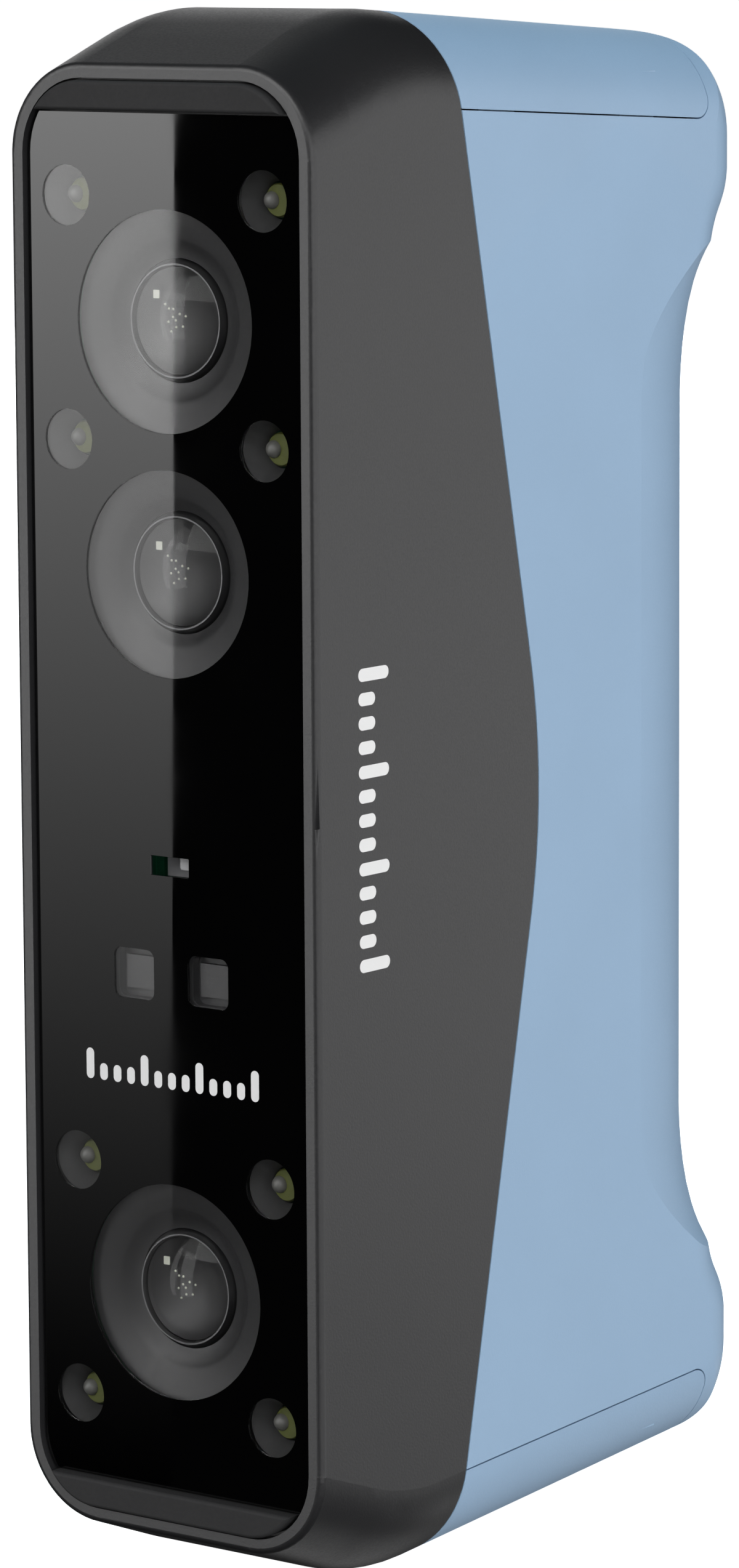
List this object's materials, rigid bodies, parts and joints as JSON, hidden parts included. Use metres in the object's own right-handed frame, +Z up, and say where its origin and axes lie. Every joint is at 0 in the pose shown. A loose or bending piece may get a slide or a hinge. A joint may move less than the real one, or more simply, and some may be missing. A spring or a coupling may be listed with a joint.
{
  "type": "handheld 3-D scanner",
  "caption": "Upright handheld 3-D scanner with a dark flat front holding cameras and ring lights, and a pale blue back with a waisted grip, buttons and a tripod thread.",
  "frame": {"origin": "centre of the whole scanner's bounding box", "axes": "+Z up along the long dimension, -Y out of the glass front, +X the right side seen from the front"},
  "size_m": [0.05, 0.0994, 0.2066],
  "materials": {
    "dark_plastic": "fine matte",
    "blue_plastic": "fine matte",
    "blue_cover": "fine matte",
    "front_glass": "polished, tinted",
    "black_print": "gloss black print",
    "adhesive": "matte foam",
    "pad_rubber": "soft matte",
    "bench_metal": "milled",
    "baffle_plastic": "dull",
    "barrel_metal": "black anodised",
    "lens_glass": "coated",
    "housing_metal": "black",
    "circuit_board": "solder mask",
    "screw_steel": "zinc plated",
    "flex_cable": "polyimide",
    "reflector_plastic": "satin",
    "emitter": "clear dome over phosphor",
    "projector_plastic": "dull",
    "sensor_plastic": "satin",
    "spacer_nylon": "nylon",
    "spacer_brass": "turned",
    "thermal_rubber": "soft",
    "sink_metal": "black anodised",
    "shield_steel": "tin plated",
    "buzzer_plastic": "matte",
    "cell_wrap": "heat-shrink wrap",
    "tray_plastic": "matte",
    "panel_plastic": "satin",
    "button_rubber": "soft matte",
    "scan_rubber": "soft matte",
    "light_pipe": "frosted",
    "switch_metal": "stamped",
    "insert_brass": "turned"
  },
  "bodies": {
    "scanner": {"front_bezel": "dark_plastic", "rear_shell": "blue_plastic", "top_end_cover": "blue_cover", "bottom_end_cover": "blue_cover", "front_glass": "front_glass", "window_mask": "black_print", "glass_gasket": "adhesive", "top_bumper_pad": "pad_rubber", "bottom_bumper_pad": "pad_rubber", "optical_bench": "bench_metal", "camera_screws": "screw_steel", "camera_cables": "flex_cable", "light_reflectors": "reflector_plastic", "light_emitters": "emitter", "light_boards": "circuit_board", "pattern_projectors": "projector_plastic", "range_sensor": "sensor_plastic", "projector_board": "circuit_board", "bench_spacers": "spacer_nylon", "bench_screws": "screw_steel", "main_board": "circuit_board", "board_spacers": "spacer_brass", "board_screws": "screw_steel", "thermal_pad": "thermal_rubber", "heat_sink": "sink_metal", "wireless_module": "shield_steel", "buzzer": "buzzer_plastic", "battery_cells": "cell_wrap", "battery_tray": "tray_plastic", "button_board": "circuit_board", "button_switches": "switch_metal", "button_board_screws": "screw_steel", "button_cable": "flex_cable", "control_panel": "panel_plastic", "status_light": "light_pipe", "charging_socket": "shield_steel", "charging_board": "circuit_board", "tripod_bracket": "bench_metal", "tripod_insert": "insert_brass", "case_screws": "screw_steel", "upper_camera_baffle": "baffle_plastic", "upper_lens_barrel": "barrel_metal", "upper_lens": "lens_glass", "upper_camera_housing": "housing_metal", "upper_sensor_board": "circuit_board", "middle_camera_baffle": "baffle_plastic", "middle_lens_barrel": "barrel_metal", "middle_lens": "lens_glass", "middle_camera_housing": "housing_metal", "middle_sensor_board": "circuit_board", "lower_camera_baffle": "baffle_plastic", "lower_lens_barrel": "barrel_metal", "lower_lens": "lens_glass", "lower_camera_housing": "housing_metal", "lower_sensor_board": "circuit_board"},
    "scan_button": {"scan_button": "scan_rubber"},
    "up_button": {"up_button": "button_rubber"},
    "down_button": {"down_button": "button_rubber"},
    "power_button": {"power_button": "button_rubber"}
  },
  "joints": [
    {"name": "scan_button_press", "type": "slide", "parent": "scanner", "child": "scan_button", "axis": [0, -1, 0], "range_m": [0, 0.0008], "stiffness_N_per_m": 1500, "springref_m": -0.0004},
    {"name": "up_button_press", "type": "slide", "parent": "scanner", "child": "up_button", "axis": [0, -1, 0], "range_m": [0, 0.0008], "stiffness_N_per_m": 1500, "springref_m": -0.0004},
    {"name": "down_button_press", "type": "slide", "parent": "scanner", "child": "down_button", "axis": [0, -1, 0], "range_m": [0, 0.0008], "stiffness_N_per_m": 1500, "springref_m": -0.0004},
    {"name": "power_button_press", "type": "slide", "parent": "scanner", "child": "power_button", "axis": [0, -1, 0], "range_m": [0, 0.0008], "stiffness_N_per_m": 1500, "springref_m": -0.0004}
  ]
}
